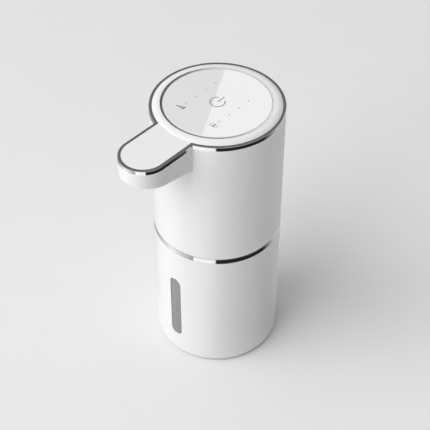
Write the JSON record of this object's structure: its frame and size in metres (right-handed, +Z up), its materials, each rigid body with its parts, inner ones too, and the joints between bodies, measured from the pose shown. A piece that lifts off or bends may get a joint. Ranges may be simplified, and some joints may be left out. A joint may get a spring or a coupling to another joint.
{
  "type": "automatic soap dispenser",
  "caption": "Round free-standing touch-free soap dispenser: refill tank with a level window under a lift-off pump head with a spout, touch panel and bright trims.",
  "frame": {"origin": "centre of the round base, on the surface that the dispenser stands on", "axes": "+Z up along the body's axis, -Y towards the tip of the spout, +X to the right seen from the spout"},
  "size_m": [0.0752, 0.1083, 0.1752],
  "materials": {
    "white_plastic": "satin",
    "clear_bottle": "translucent",
    "window_grey": "translucent",
    "chrome_trim": "mirror",
    "grey_rubber": "matte",
    "black_rubber": "matte",
    "soft_silicone": "matte",
    "panel_gloss": "gloss",
    "inner_plastic": "satin",
    "gear_plastic": "satin",
    "cradle_plastic": "satin",
    "black_plastic": "satin",
    "switch_plastic": "satin",
    "sensor_black": "gloss",
    "clear_guide": "clear",
    "steel": "satin",
    "magnet": "matte",
    "copper_core": "satin",
    "board_green": "satin",
    "ribbon_tan": "satin",
    "cell_wrap": "wrapped",
    "lead_red": "satin"
  },
  "bodies": {
    "tank": {"tank_sleeve": "white_plastic", "tank_bottle": "clear_bottle", "window_lens": "window_grey", "base_pad": "grey_rubber", "neck_seal": "black_rubber"},
    "head": {"upper_shell": "white_plastic", "mid_band": "chrome_trim", "top_trim": "chrome_trim", "top_cover": "white_plastic", "drive_deck": "inner_plastic", "deck_screws": "steel", "pump_body": "inner_plastic", "pump_cover": "inner_plastic", "pump_screws": "steel", "shaft_seal": "black_rubber", "idler_pin": "steel", "motor_can": "steel", "motor_magnets": "magnet", "motor_endcap": "inner_plastic", "motor_terminals": "copper_core", "motor_screws": "steel", "motor_leads": "lead_red", "intake_tube": "inner_plastic", "intake_filter": "inner_plastic", "outlet_hose": "soft_silicone", "nozzle_body": "white_plastic", "nozzle_valve": "soft_silicone", "sensor_lens": "sensor_black", "sensor_board": "board_green", "sensor_diodes": "sensor_black", "sensor_ribbon": "ribbon_tan", "battery_cell": "cell_wrap", "battery_tabs": "steel", "battery_cradle": "cradle_plastic", "cradle_screws": "steel", "battery_leads": "lead_red", "control_board": "board_green", "board_screws": "steel", "board_chips": "black_plastic", "board_connectors": "inner_plastic", "status_lamps": "clear_guide", "light_guides": "clear_guide", "switch_base": "switch_plastic", "charging_board": "board_green", "charger_screws": "steel", "charge_leads": "lead_red", "charging_socket": "steel", "socket_tongue": "black_plastic", "port_tab": "soft_silicone", "panel_rim": "chrome_trim", "panel_gasket": "soft_silicone"},
    "panel": {"touch_panel": "panel_gloss", "panel_carrier": "inner_plastic", "switch_plunger": "black_plastic"},
    "rotor": {"motor_shaft": "steel", "motor_armature": "copper_core", "pump_drive_gear": "gear_plastic"},
    "idler": {"pump_idler_gear": "gear_plastic"},
    "port_flap": {"port_cover": "soft_silicone"}
  },
  "joints": [
    {"name": "head_lift", "type": "slide", "parent": "tank", "child": "head", "axis": [0, 0, 1], "range_m": [0, 0.1]},
    {"name": "panel_press", "type": "slide", "parent": "head", "child": "panel", "axis": [0, 0, -1], "range_m": [0, 0.0004], "stiffness_N_per_m": 4000, "springref_m": -0.0004, "deforming": ["panel_gasket"]},
    {"name": "pump_spin", "type": "hinge", "parent": "head", "child": "rotor", "pos_m": [0.0042, 0.003, 0.107], "axis": [0, 0, 1], "continuous": true},
    {"name": "idler_spin", "type": "hinge", "parent": "head", "child": "idler", "pos_m": [-0.0042, 0.003, 0.107], "axis": [0, 0, 1], "continuous": true},
    {"name": "port_cover_swing", "type": "hinge", "parent": "head", "child": "port_flap", "pos_m": [0, 0.0375, 0.1057], "axis": [-1, 0, 0], "range_deg": [0, 110], "stiffness_Nm_per_rad": 0.0005, "springref_deg": -34.38}
  ],
  "couplings": [
    {"joint": "idler_spin", "follows": "pump_spin", "ratio": -1}
  ]
}
